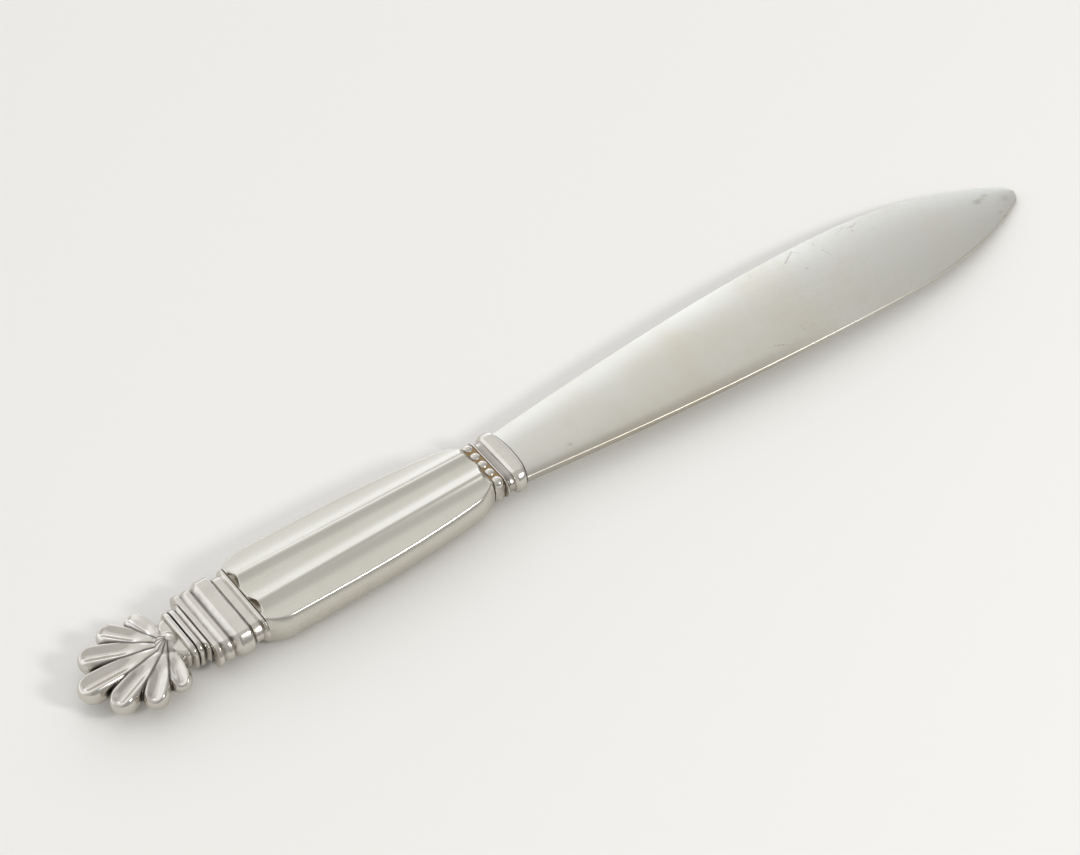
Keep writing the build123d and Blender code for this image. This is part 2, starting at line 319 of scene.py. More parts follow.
@dataclass(frozen=True)
class SilverFinish:
    """Sterling silver as a workshop left it and handling aged it.

    Bare silver is close to white with a little warmth. Polishing leaves hairlines that soften its
    reflection, thin tarnish lies over it in clouds, and black sulphide stays in the corners that a cloth
    misses. Old polish dries there too, as a pale brown crust without any shine.
    """

    name: str
    colour: str
    cloud_colour: str
    tarnish_colour: str
    patina_colour: str
    residue_colour: str
    roughness: float
    cloud_size: float
    cloud_amount: float
    hairline_length: float
    hairline_width: float
    hairline_amount: float
    hairline_stain: float
    patina_span: Span
    hairline_depth: float = 0.001
    cloud_span: Span = (0.42, 0.72)
    patch_size: float = 2.5
    patch_span: Span = (0.45, 0.7)
    hairline_angles: tuple[float, ...] = (0.16, -0.5)
    hairline_spacing: float = 6.0
    hairline_rise: float = 0.2
    hairline_share: float = 0.02
    patina_raggedness: float = 0.35
    residue_raggedness: float = 0.5
    residue_span: Span = (0.55, 0.8)
    cloud_dulling: float = 0.08
    hairline_dulling: float = 0.16
    patina_dulling: float = 0.3
    residue_dulling: float = 0.45

    def hairlines(self, tree: bpy.types.NodeTree, in_mm: Socket) -> Socket:
        """Draws the crossing lines of polishing, wider than the real ones, which are too fine to show.

        Args:
            tree: the material's tree.
            in_mm: the place on the object, in millimetres.

        Returns:
            1 on a line, 0 beside it.
        """
        crosswise = 1 / (self.hairline_spacing * self.hairline_width)
        scale = (1 / self.hairline_length, crosswise, self.hairline_rise)
        lines = []
        for angle in self.hairline_angles:
            stretch = {"Vector": in_mm, "Rotation": (0.0, 0.0, angle), "Scale": scale}
            turned = add_node(tree, "ShaderNodeMapping", stretch)
            noise = {"Vector": turned, "Scale": 1.0, "Detail": 2.0, "Roughness": 0.5}
            streaks = add_node(tree, "ShaderNodeTexNoise", noise)
            off = add_node(tree, "ShaderNodeMath", {0: streaks, 1: 0.5}, operation="SUBTRACT")
            away = add_node(tree, "ShaderNodeMath", {0: off}, operation="ABSOLUTE")
            edge = fade((0.0, self.hairline_share), 1.0, 0.0)
            lines.append(add_node(tree, "ShaderNodeMapRange", {0: away, **edge}))
        return add_node(tree, "ShaderNodeMath", dict(enumerate(lines)), operation="MAXIMUM")

    def build(self) -> bpy.types.Material:
        """Makes the node material.

        Returns:
            The material.
        """
        material = blank_material(self.name)
        tree = material.node_tree
        in_mm = place_in_mm(tree)
        scuffed, tarnish, cavity, residue = (
            add_node(tree, "ShaderNodeAttribute", out="Fac", attribute_name=name)
            for name in ("scuffed", "tarnish", "cavity", "residue")
        )

        noise = {"Vector": in_mm, "Scale": 1 / self.cloud_size, "Detail": 4.0, "Roughness": 0.6}
        clouds = add_node(tree, "ShaderNodeTexNoise", noise)
        thin = fade(self.cloud_span, 0.0, self.cloud_amount)
        cloud = add_node(tree, "ShaderNodeMapRange", {0: clouds, **thin})

        noise = {"Vector": in_mm, "Scale": 1 / (self.patch_size * self.cloud_size), "Detail": 1.0}
        patches = add_node(tree, "ShaderNodeTexNoise", noise)
        handled = add_node(tree, "ShaderNodeMapRange", {0: patches, **fade(self.patch_span, 0.0, 1.0)})
        worn = add_node(tree, "ShaderNodeMath", {0: handled, 1: scuffed}, operation="ADD", use_clamp=True)
        marks = self.hairlines(tree, in_mm)
        for share in (worn, self.hairline_amount):
            marks = add_node(tree, "ShaderNodeMath", {0: marks, 1: share}, operation="MULTIPLY")
        filled = {0: marks, 1: self.hairline_stain, 2: tarnish}
        stain = add_node(tree, "ShaderNodeMath", filled, operation="MULTIPLY_ADD", use_clamp=True)

        ragged = {0: clouds, 1: self.patina_raggedness, 2: cavity}
        broken = add_node(tree, "ShaderNodeMath", ragged, operation="MULTIPLY_ADD")
        start, full = (end + self.patina_raggedness / 2 for end in self.patina_span)
        dark = add_node(tree, "ShaderNodeMapRange", {0: broken, **fade((start, full), 0.0, 1.0)})
        ragged = {0: clouds, 1: self.residue_raggedness, 2: residue}
        grime = add_node(tree, "ShaderNodeMath", ragged, operation="MULTIPLY_ADD")
        caked = add_node(tree, "ShaderNodeMapRange", {0: grime, **fade(self.residue_span, 0.0, 1.0)})

        colour, rough = linear(self.colour), self.roughness
        for amount, over in (
            (cloud, self.cloud_colour),
            (stain, self.tarnish_colour),
            (dark, self.patina_colour),
            (caked, self.residue_colour),
        ):
            layers = {0: amount, 6: colour, 7: linear(over)}
            colour = add_node(tree, "ShaderNodeMix", layers, out=2, data_type="RGBA")
        for amount, more in (
            (cloud, self.cloud_dulling),
            (marks, self.hairline_dulling),
            (dark, self.patina_dulling),
            (caked, self.residue_dulling),
        ):
            dulled = {0: amount, 1: more, 2: rough}
            rough = add_node(tree, "ShaderNodeMath", dulled, operation="MULTIPLY_ADD", use_clamp=True)
        metal = add_node(tree, "ShaderNodeMapRange", {0: caked, **fade((0.0, 1.0), 1.0, 0.0)})
        depth = {"Height": marks, "Strength": 1.0, "Distance": self.hairline_depth * MM}
        scored = add_node(tree, "ShaderNodeBump", depth, invert=True)
        surface = {"Base Color": colour, "Metallic": metal, "Roughness": rough, "Normal": scored}
        shader = add_node(tree, "ShaderNodeBsdfPrincipled", surface)
        add_node(tree, "ShaderNodeOutputMaterial", {"Surface": shader})
        return material


# Struck in a die and buffed: a clear reflection, a little soft, under thin wide clouds.
STRUCK_SILVER = SilverFinish(
    name="sterling_silver_struck_and_polished",
    colour="#CDCAC0",
    cloud_colour="#C3BEB2",
    tarnish_colour="#6E6350",
    patina_colour="#3B352D",
    residue_colour="#8E6C3C",
    roughness=0.24,
    cloud_size=9.0,
    cloud_amount=0.35,
    hairline_length=7.0,
    hairline_width=0.12,
    hairline_amount=0.4,
    hairline_stain=0.12,
    patina_span=(0.5, 0.85),
)

# Ground and satin-polished: a broad silky sheen, with scratches from use.
BLADE_SILVER = SilverFinish(
    name="sterling_silver_satin_polished",
    colour="#CECCC3",
    cloud_colour="#C7C1B0",
    tarnish_colour="#8E8574",
    patina_colour="#4A453C",
    residue_colour="#8E6C3C",
    roughness=0.29,
    cloud_size=14.0,
    cloud_amount=0.65,
    hairline_length=4.0,
    hairline_width=0.14,
    hairline_amount=0.6,
    hairline_stain=0.15,
    patina_span=(0.36, 0.55),
)

# Cast, polished on its high parts and left dark in its hollows.
CAST_SILVER = SilverFinish(
    name="sterling_silver_cast_and_oxidised",
    colour="#CFCBC2",
    cloud_colour="#BFB6AE",
    tarnish_colour="#4A4239",
    patina_colour="#38302A",
    residue_colour="#957B55",
    roughness=0.2,
    cloud_size=2.5,
    cloud_amount=0.4,
    hairline_length=3.0,
    hairline_width=0.1,
    hairline_amount=0.4,
    hairline_stain=0.1,
    patina_span=(0.14, 0.7),
)


@dataclass(frozen=True)
class CementFinish:
    """Pitch and plaster cement poured into the handle: a matt brown mass with pale grains of filler."""

    name: str = "pitch_and_plaster_cement_poured"
    colour: str = "#5A4A38"
    grain_colour: str = "#857459"
    grain_size: float = 0.6
    roughness: float = 0.85

    def build(self) -> bpy.types.Material:
        """Makes the node material.

        Returns:
            The material.
        """
        material = blank_material(self.name)
        tree = material.node_tree
        in_mm = place_in_mm(tree)
        noise = {"Vector": in_mm, "Scale": 1 / self.grain_size, "Detail": 3.0}
        grains = add_node(tree, "ShaderNodeTexNoise", noise)
        mixed = {0: grains, 6: linear(self.colour), 7: linear(self.grain_colour)}
        colour = add_node(tree, "ShaderNodeMix", mixed, out=2, data_type="RGBA")
        surface = {"Base Color": colour, "Roughness": self.roughness}
        shader = add_node(tree, "ShaderNodeBsdfPrincipled", surface)
        add_node(tree, "ShaderNodeOutputMaterial", {"Surface": shader})
        return material


class Piece:
    """A visible piece that stands for one CAD node."""

    def __init__(self, node: str, slot: Slot, shape: Shape) -> None:
        """Makes the piece's object.

        Args:
            node: the CAD node that it replaces.
            slot: the record's material slot.
            shape: its form.
        """
        self.node = node
        self.slot = slot
        self.object = bpy.data.objects.new(f"{node}_piece", shape.mesh(f"{node}_mesh"))
        bpy.context.scene.collection.objects.link(self.object)

    @staticmethod
    def read(rows: bpy.types.bpy_prop_collection, name: str, width: int, kind: type) -> np.ndarray:
        """Reads one property of a mesh.

        Args:
            rows: the mesh's vertices, normals or edges.
            name: the property's name.
            width: numbers to a row.
            kind: the type of the numbers.

        Returns:
            One row for each of them.
        """
        flat = np.empty(len(rows) * width, dtype=kind)
        rows.foreach_get(name, flat)
        return flat.reshape(-1, width)

    def points(self) -> np.ndarray:
        """Gives the mesh's points in millimetres."""
        return self.read(self.object.data.vertices, "co", 3, np.float64) / MM

    def normals(self) -> np.ndarray:
        """Gives the mesh's smooth normals at its points."""
        return self.read(self.object.data.vertex_normals, "vector", 3, np.float32)

    def edges(self) -> np.ndarray:
        """Gives the pairs of points that the mesh's edges join."""
        return self.read(self.object.data.edges, "vertices", 2, np.int32)

    def mark(self, name: str, values: np.ndarray) -> None:
        """Stores one number per point under a name, for the finish to read."""
        attribute = self.object.data.attributes.new(name, "FLOAT", "POINT")
        attribute.data.foreach_set("value", values.astype(np.float32))

    def dress(self, material: bpy.types.Material) -> None:
        """Gives the piece its finish and joins it to the frame.

        Args:
            material: the finish.
        """
        self.object.data.materials.append(material)
        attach(self.object, "root")
        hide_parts(self.node)


@dataclass
class Blade:
    """The leaf-shaped blade: crowned on both faces, thinning to its edge and bowed down to its tip.

    A spot is its x, y, size and depth of stain, and a scratch its two ends' x and y and its depth of stain.
    """

    hidden_x: float = -16.4
    base_x: float = -14.4
    tip_x: float = 100.0
    base_half_width: float = 5.8
    widest_half_width: float = 10.48
    widest_from_base: float = 71.4
    base_slope: float = 0.11
    tip_radius: float = 2.6
    tip_angle: float = math.radians(28.0)
    tip_last_angle: float = math.radians(89.0)
    tip_rings: int = 26
    base_thickness: float = 3.1
    tip_thickness: float = 0.84
    thinning_power: float = 2.6
    crown_power: float = 2.2
    base_edge: float = 1.35
    tip_edge: float = 0.5
    edge_round: float = 0.3
    edge_round_share: float = 0.9
    straight_run: float = 44.4
    planish_depth: float = 0.006
    planish_lengths: tuple[float, float, float] = (8.7, 6.1, 4.3)
    planish_phases: Span = (1.3, 0.4)
    planish_slant: float = 1.7
    slanted_share: float = 0.6
    station_step: float = 0.32
    scratched_run: Span = (51.5, 70.5)
    scratched_step: float = 0.1
    across_points: int = 81
    round_points: int = 5
    rim_stop: float = 0.05
    scuffed_rim: Span = (0.45, 0.95)
    scuffed_run: tuple[Span, Span] = ((38.0, 52.0), (78.0, 92.0))
    scuffed_near_share: float = 0.45
    scuffed_tip: Span = (86.0, 96.0)
    scuffed_tip_amount: float = 0.7
    dull_rim: Span = (0.72, 0.93)
    dull_run: Span = (26.0, 54.0)
    dull_amount: float = 0.4
    spot_raggedness: float = 0.35
    spot_squash: float = 1.3
    spot_waves: tuple[tuple[float, float, float], ...] = ((4.1, 1.7, 0.0), (2.3, -3.9, 1.0))
    spots: tuple[tuple[float, float, float, float], ...] = (
        (92.0, 1.0, 0.7, 0.55), (93.0, 1.3, 0.6, 0.35), (94.2, 1.6, 0.6, 0.4),
        (97.1, -0.8, 0.9, 0.25), (94.0, -3.2, 0.3, 0.45), (94.1, -4.4, 0.3, 0.5),
        (67.5, 7.5, 0.25, 0.5), (54.2, 4.3, 0.25, 0.45), (-5.0, -4.4, 0.3, 0.5),
    )
    scratch_width: float = 0.085
    scratches: tuple[tuple[float, float, float, float, float], ...] = (
        (55.0, 9.6, 52.0, 7.7, 0.9), (54.9, 9.4, 55.9, 8.3, 0.35), (59.5, 9.1, 59.2, 8.3, 0.5),
        (59.7, 6.8, 59.7, 6.2, 0.4), (59.9, 5.7, 60.1, 4.4, 0.4), (69.4, 8.8, 67.8, 8.3, 0.7),
        (68.2, 8.7, 66.9, 8.6, 0.5), (66.7, 9.1, 64.4, 8.5, 0.4), (70.4, 5.5, 71.8, 5.8, 0.3),
        (89.1, -2.7, 89.7, -3.7, 0.3), (44.4, -5.8, 44.4, -7.6, 0.25), (37.8, -7.2, 39.6, -7.9, 0.6),
    )

    def tip_start(self) -> float:
        """Gives the place along X where the round of the tip starts."""
        return self.tip_x - self.tip_radius * (1 - math.sin(self.tip_angle))

    def half_width(self, x: np.ndarray) -> np.ndarray:
        """Gives half the leaf's width.

        Args:
            x: places along the blade.

        Returns:
            Half-widths at those places.
        """
        widest_x = self.base_x + self.widest_from_base
        end_x = self.tip_start()
        end_half = self.tip_radius * math.cos(self.tip_angle)
        t = (x - self.base_x) / self.widest_from_base
        swell = self.base_slope * self.widest_from_base * (t - 2 * t**2 + t**3)
        rise = self.widest_half_width - self.base_half_width
        behind = self.base_half_width + rise * (3 * t**2 - 2 * t**3) + swell
        t = np.clip((x - widest_x) / (end_x - widest_x), 0, 1)
        swell = math.tan(self.tip_angle) * (end_x - widest_x) * (t**2 - t**3)
        ahead = self.widest_half_width - (self.widest_half_width - end_half) * (3 * t**2 - 2 * t**3) + swell
        from_centre = np.clip(x - self.tip_x + self.tip_radius, 0, self.tip_radius)
        tip = np.sqrt(self.tip_radius**2 - from_centre**2)
        return np.where(x <= widest_x, behind, np.where(x <= end_x, ahead, tip))

    def stations(self) -> np.ndarray:
        """Gives the places of the blade's rings, closer together where it is scratched and at the tip.

        Returns:
            The places, from the hidden end to the tip.
        """
        first, last = self.scratched_run
        run = np.arange(self.base_x, first, self.station_step)
        finer = np.arange(first, last, self.scratched_step)
        rest = np.arange(last, self.tip_start(), self.station_step)
        turn = np.linspace(self.tip_angle, self.tip_last_angle, self.tip_rings)
        tip = self.tip_x - self.tip_radius * (1 - np.sin(turn))
        return np.concatenate([[self.hidden_x], run, finer, rest, tip])

    def crown(self, y: np.ndarray | float, half: float, middle: float, edge: float) -> np.ndarray | float:
        """Gives half the thickness at y, from half of a ring's width, middle and edge thickness."""
        return edge + (middle - edge) * (1 - np.abs(y / half) ** self.crown_power)

    def planish(self, x: float, y: np.ndarray) -> np.ndarray:
        """Gives the faint crossing waves that planishing left in the faces.

        Args:
            x: the ring's place along the blade.
            y: places across it.

        Returns:
            Rises at those places.
        """
        along, across, aslant = self.planish_lengths
        first, second = self.planish_phases
        waves = np.sin(x / along + first) * np.cos(y / across + second)
        slanted = np.sin((x + self.planish_slant * y) / aslant)
        return self.planish_depth * (waves + self.slanted_share * slanted)

    def build(self) -> Piece:
        """Makes the blade's mesh.

        Returns:
            The blade.
        """
        stations = self.stations()
        share = np.clip((stations - self.base_x) / (self.tip_x - self.base_x), 0, 1)
        halves = self.half_width(np.maximum(stations, self.base_x))
        thinned = share**self.thinning_power
        middles = blend(self.base_thickness, self.tip_thickness, thinned) / 2
        edges = blend(self.base_edge, self.tip_edge, share) / 2
        full_run = self.tip_x - self.base_x - self.straight_run
        run = np.maximum(0, stations - self.base_x - self.straight_run)
        drops = (SEAM_Z - self.tip_thickness / 2) * (run / full_run) ** 2
        rounds = np.minimum(self.edge_round, np.minimum(edges, halves) * self.edge_round_share)
        across = np.sin(np.linspace(math.pi / 2, -math.pi / 2, self.across_points))
        turn = np.linspace(0, math.pi / 2, self.round_points + 1)[:-1]
        rings = []
        for x, half, middle, edge, drop, ease in zip(stations, halves, middles, edges, drops, rounds):
            flat = half - ease
            upright = self.crown(flat, half, middle, edge) - ease
            round_y = flat + ease * np.cos(turn)
            round_z = upright + ease * np.sin(turn)
            y = np.concatenate([round_y, across * flat, -round_y[::-1]])
            z = np.concatenate([round_z, self.crown(across * flat, half, middle, edge), round_z[::-1]])
            wave = self.planish(x, y)
            above, below = np.column_stack([y, wave + z]), np.column_stack([y, wave - z])
            rings.append(at_x(x, np.vstack([above, below[::-1]]) - (0, drop)))
        piece = Piece("blade", Slot.BLADE, sweep(np.array(rings)))
        self.age(piece)
        return piece

    def age(self, piece: Piece) -> None:
        """Marks where the blade is scuffed by handling, where tarnish has stayed, and a darker strip along
        its near edge.

        Args:
            piece: the blade.
        """
        x, y, _ = piece.points().T
        rim = np.abs(y) / self.half_width(np.clip(x, self.base_x, self.tip_x - self.rim_stop))
        far = np.where(y > 0, 1.0, self.scuffed_near_share)
        at_tip = self.scuffed_tip_amount * smooth_step(*self.scuffed_tip, x)
        scuffed = far * smooth_step(*self.scuffed_rim, rim) * between(*self.scuffed_run, x) + at_tip
        piece.mark("scuffed", np.clip(scuffed, 0, 1))
        # A darker strip along the near edge, from the base, fading out about the middle of the blade.
        near_rim = np.where(y < 0, 1.0, 0.0) * smooth_step(*self.dull_rim, rim)
        stain = self.dull_amount * (near_rim * (1 - smooth_step(*self.dull_run, x)))
        # Crossing waves make the spots' outlines ragged.
        uneven = np.prod([np.sin(a * x + b * y + phase) for a, b, phase in self.spot_waves], axis=0)
        for spot_x, spot_y, size, depth in self.spots:
            away = np.hypot(x - spot_x, self.spot_squash * (y - spot_y)) / size
            away = away + self.spot_raggedness * uneven
            stain = np.maximum(stain, depth * np.exp(-(np.maximum(away, 0) ** 2)))
        for ax, ay, bx, by, depth in self.scratches:
            run = np.array([bx - ax, by - ay])
            t = np.clip(((x - ax) * run[0] + (y - ay) * run[1]) / (run @ run), 0, 1)
            away = np.hypot(x - ax - t * run[0], y - ay - t * run[1]) / self.scratch_width
            stain = np.maximum(stain, depth * np.exp(-(away**2)))
        piece.mark("tarnish", stain)


@dataclass
class Moulding:
    """A cast moulding: barrel sections along a polished profile of (x, inset) points."""

    half_width: float
    half_height: float
    side: float
    corner: float
    polish_round: float
    profile: tuple[Span, ...]

    def section(self, inset: float) -> np.ndarray:
        """Draws the section at an inset."""
        return barrel_ring(self.half_width - inset, self.half_height - inset, self.side, self.corner)

    def rings(self) -> np.ndarray:
        """Stacks the sections along the profile."""
        return moulded(eased(list(self.profile), self.polish_round), self.section)


@dataclass
class Bolster(Moulding):
    """The cast bolster: a fillet beside the beads, a cove, and a band with a bowed front."""

    half_width: float = 6.55
    half_height: float = 2.65
    side: float = 1.25
    corner: float = 0.95
    front_bow: float = 0.024
    bow_start: float = 1.8
    polish_round: float = 0.12
    joint: Span = (-14.42, -14.1)
    joint_gain: float = 3.0
    dull_cove: tuple[Span, Span] = ((-18.9, -18.5), (-17.55, -17.35))
    dull_amount: float = 0.3
    profile: tuple[Span, ...] = (
        (-19.2, 0.95), (-19.18, 0.36), (-19.1, 0.24), (-18.92, 0.24), (-18.8, 0.42), (-18.55, 0.6),
        (-18.05, 0.67), (-17.6, 0.67), (-17.42, 0.62), (-17.36, 0.43), (-16.8, 0.03), (-16.4, 0.0),
        (-15.2, 0.0), (-14.62, 0.04), (-14.44, 0.2), (-14.4, 0.48), (-14.1, 0.55), (-14.08, 1.1),
    )

    def build(self) -> Piece:
        """Makes the bolster's mesh.

        Returns:
            The bolster.
        """
        rings = self.rings()
        along = rings[:, :, 0].copy()
        first, last = self.profile[0][0], self.profile[-1][0]
        share = smooth_step(first + self.bow_start, last, along)
        rings[:, :, 0] -= share * self.front_bow * rings[:, :, 1] ** 2
        in_cove = between(*self.dull_cove, along)
        solder = np.minimum(self.joint_gain * smooth_step(*self.joint, along), 1)
        piece = Piece("bolster", Slot.CAST, sweep(rings))
        piece.mark("tarnish", np.maximum(self.dull_amount * in_cove, solder).reshape(-1))
        return piece


@dataclass
class BeadWire:
    """The wire soldered round the neck: a row of beads on each face, with old polish caked between them."""

    start_x: float = -21.34
    length: float = 2.18
    half_width: float = 5.45
    half_height: float = 2.35
    corner: float = 1.6
    edge_inset: float = 0.3
    face_inset: float = 0.05
    edge_round: float = 0.1
    bead_radius: float = 1.25
    bead_sink: float = 0.86
    bead_pitch: float = 2.12
    beads_per_face: int = 5
    bead_unevenness: float = 0.03
    bead_phases: tuple[float, float, float] = (0.0, 1.9, 4.1)
    bead_phase_step: float = 2.3
    cake_depth: Span = (0.0, 0.1)
    cake_half_width: Span = (4.4, 5.1)

    def section(self, inset: float) -> np.ndarray:
        """Draws the wire's section at an inset."""
        return rounded_ring(self.half_width - inset, self.half_height - inset, self.corner - inset)

    def build(self) -> Piece:
        """Makes the wire and its beads as one mesh.

        Returns:
            The beaded wire.
        """
        start, end = self.start_x, self.start_x + self.length
        profile = [
            (start, self.edge_inset),
            (start + self.edge_round, self.face_inset),
            (end - self.edge_round, self.face_inset),
            (end, self.edge_inset),
        ]
        shape = sweep(moulded(eased(profile, self.edge_round), self.section))
        bead = ball(self.bead_radius)
        middle = self.start_x + self.length / 2
        for number in range(2 * self.beads_per_face):
            column, side = number // 2, 1 - 2 * (number % 2)
            y = (column - (self.beads_per_face - 1) / 2) * self.bead_pitch
            z = side * (self.half_height - self.bead_sink)
            phases = self.bead_phase_step * number + np.array(self.bead_phases)
            uneven = 1 + self.bead_unevenness * np.sin(phases)
            shape = shape.joined(Shape(bead.points * uneven + (middle, y, z), bead.faces))
        piece = Piece("bead_wire", Slot.CAST, shape)
        inner = np.array([self.half_width - self.corner, self.half_height - self.corner])
        beyond = np.abs(shape.points[:, 1:]) - inner
        outside = np.linalg.norm(np.maximum(beyond, 0), axis=1)
        rise = outside + np.minimum(beyond.max(axis=1), 0) - self.corner
        on_face = 1 - smooth_step(*self.cake_half_width, np.abs(shape.points[:, 1]))
        piece.mark("residue", on_face * (1 - smooth_step(*self.cake_depth, rise)))
        return piece


@dataclass
class Handle:
    """The hollow handle: two struck shells with bulging sides and three flutes along each face."""

    tail_x: float = -68.3
    neck_x: float = -21.4
    ridge_height: float = 4.1
    tail_edge_height: float = 3.05
    neck_edge_height: float = 2.7
    side_bulge: float = 1.0
    tail_half_width: float = 6.4
    widest_half_width: float = 8.2
    front_half_width: float = 6.55
    neck_half_width: float = 4.4
    tail_shoulder: float = 4.5
    neck_shoulder: float = 4.4
    front_slope: float = 0.13
    ridge_half_tail: float = 3.3
    ridge_half_neck: float = 2.6
    middle_depth: float = 0.7
    middle_power: float = 2.2
    outer_power: float = 3.8
    outer_lean: float = 0.3
    ridge_softness: float = 0.65
    softening_steps: int = 13
    softening_peak: float = 1.02
    crisp_round: float = 0.28
    crisp_lift: float = 0.02
    seam_groove: float = 0.004
    rim_roll: float = 0.24
    roll_turns: tuple[float, ...] = (0.3, 0.6, 0.9, 1.2, 1.5)
    notch_depth: float = 0.75
    notch_half_width: float = 2.1
    pit_height: float = 2.95
    pit_insets: Span = (0.25, 0.45)
    lip_reach: float = 1.1
    pit_stain: float = 0.8
    pit_edge: Span = (0.05, 0.5)
    pit_blend: float = 0.03
    rows: int = 150
    face_points: int = 121
    side_points: int = 17
    bend_points: int = 4

    def half_width(self, x: np.ndarray) -> np.ndarray:
        """Gives half the width inside the crisp edge.

        Args:
            x: places along the handle.

        Returns:
            Half-widths at those places.
        """
        wide_x = self.tail_x + self.tail_shoulder
        front_x = self.neck_x - self.neck_shoulder
        fall = self.widest_half_width - self.tail_half_width
        radius = (self.tail_shoulder**2 + fall**2) / (2 * fall)
        reach = np.clip(x - wide_x, -self.tail_shoulder, 0)
        tail = self.widest_half_width - radius + np.sqrt(radius**2 - reach**2)
        t = np.clip((x - wide_x) / (front_x - wide_x), 0, 1)
        lead = self.front_half_width + self.front_slope * (front_x - wide_x) / 3
        body = self.widest_half_width * ((1 - t) ** 3 + 3 * t * (1 - t) ** 2)
        body = body + 3 * lead * t**2 * (1 - t) + self.front_half_width * t**3
        size = math.hypot(1, self.front_slope)
        inward = (-self.front_slope / size, -1 / size)
        chord = (front_x - self.neck_x, self.front_half_width - self.neck_half_width)
        neck_radius = -(chord[0] ** 2 + chord[1] ** 2) / (2 * (inward[0] * chord[0] + inward[1] * chord[1]))
        centre_x = front_x + neck_radius * inward[0]
        centre_y = self.front_half_width + neck_radius * inward[1]
        reach = np.clip(x, front_x, self.neck_x) - centre_x
        neck = centre_y + np.sqrt(neck_radius**2 - reach**2)
        return np.where(x < wide_x, tail, np.where(x > front_x, neck, body))

    def face_height(self, x: np.ndarray, y: np.ndarray) -> np.ndarray:
        """Gives the fluted face's height above the seam, its ridges softened.

        Args:
            x: places along the handle.
            y: places across it.

        Returns:
            Heights at those places.
        """
        share = np.clip((x - self.tail_x) / (self.neck_x - self.tail_x), 0, 1)
        ridge = blend(self.ridge_half_tail, self.ridge_half_neck, share)
        rim = blend(self.widest_half_width, self.front_half_width, share)
        rim_height = blend(self.tail_edge_height, self.neck_edge_height, share)
        total, weights = 0.0, 0.0
        for step in np.linspace(-1, 1, self.softening_steps):
            at = np.abs(y + step * self.ridge_softness)
            hollow = 1 - np.minimum(at / ridge, 1) ** self.middle_power
            middle = self.ridge_height - self.middle_depth * hollow
            out = np.clip((at - ridge) / (rim - ridge), 0, 1)
            bank = self.outer_lean * (1 - out) + (1 - self.outer_lean) * (1 - out) ** self.outer_power
            outer = blend(rim_height, self.ridge_height, bank)
            weight = self.softening_peak - abs(step)
            total = total + weight * np.where(at < ridge, middle, outer)
            weights = weights + weight
        return total / weights

    def notch(self, y: np.ndarray, ridge: float) -> np.ndarray:
        """Gives how far the shell's rim is cut back at y, for the ridges' distance from the middle."""
        away = (np.abs(y) - ridge) / self.notch_half_width
        return self.notch_depth * np.clip(1 - away**2, 0, 1)

    def ring(self, x: np.ndarray, v: np.ndarray) -> np.ndarray:
        """Draws one ring of the shell: far side, fluted face, near side.

        Args:
            x: places along the handle, one for each point of the face.
            v: their places across it, as shares of its half-width.

        Returns:
            Points from the far seam to the near one.
        """
        half = self.half_width(x) - self.crisp_round
        y = v * half
        z = self.face_height(x, y)
        edge, brink = z[0], half[0] + self.crisp_round
        side_z = np.linspace(0, 1, self.side_points) * (edge - self.crisp_round)
        side_y = brink + self.side_bulge * (1 - (side_z / edge) ** 2)
        side_y[0] -= self.seam_groove
        first = np.array([side_y[-1], side_z[-1]])
        corner = np.array([brink, edge + self.crisp_lift])
        last = np.array([y[0], z[0]])
        t = np.linspace(0, 1, self.bend_points + 2)[1:-1, None]
        far = at_x(x[0], np.vstack([np.column_stack([side_y, side_z]), bent(t, first, corner, last)]))
        return np.vstack([far, np.column_stack([x, y, z]), far[::-1] * (1, -1, 1)])

    def shell(self) -> Shape:
        """Makes the front shell's form.

        Returns:
            The shell as a closed shape.
        """
        v = np.linspace(1, -1, self.face_points)
        start = self.tail_x + self.rim_roll + self.notch(v * self.tail_half_width, self.ridge_half_tail)
        stop = self.neck_x - self.rim_roll - self.notch(v * self.neck_half_width, self.ridge_half_neck)
        shares = np.linspace(0, 1, self.rows)
        rings = np.array([self.ring(blend(start, stop, share), v) for share in shares])
        tail, neck = self.end_rows(rings[0], self.tail_x, -1), self.end_rows(rings[-1], self.neck_x, 1)
        return sweep(np.vstack([tail, rings, neck]))

    def end_rows(self, rim: np.ndarray, end_x: float, outward: int) -> np.ndarray:
        """Rolls the shell's scalloped rim over and takes it down, with a pit under each ridge.

        Args:
            rim: the last ring of the shell.
            end_x: the plane that the end stands on.
            outward: direction of the end along X.

        Returns:
            More rings, in the order that the sweep needs.
        """
        rows = []
        for turn in self.roll_turns:
            dip, back = self.rim_roll * (1 - math.cos(turn)), self.rim_roll * math.sin(turn)
            rows.append((dip, dip, back))
        rows += zip(self.pit_insets, (math.inf, math.inf), (self.lip_reach * self.rim_roll, math.inf))
        proud = rim[:, 2] > self.pit_height
        made = []
        for inset, dip, back in rows:
            ring = rim.copy()
            ring[:, 1] *= 1 - inset / np.abs(rim[:, 1]).max()
            ring[:, 2] = np.where(proud, np.maximum(rim[:, 2] - dip, self.pit_height), rim[:, 2])
            moved = rim[:, 0] + outward * back
            ring[:, 0] = np.minimum(moved, end_x) if outward > 0 else np.maximum(moved, end_x)
            made.append(ring)
        return np.array(made if outward > 0 else made[::-1])

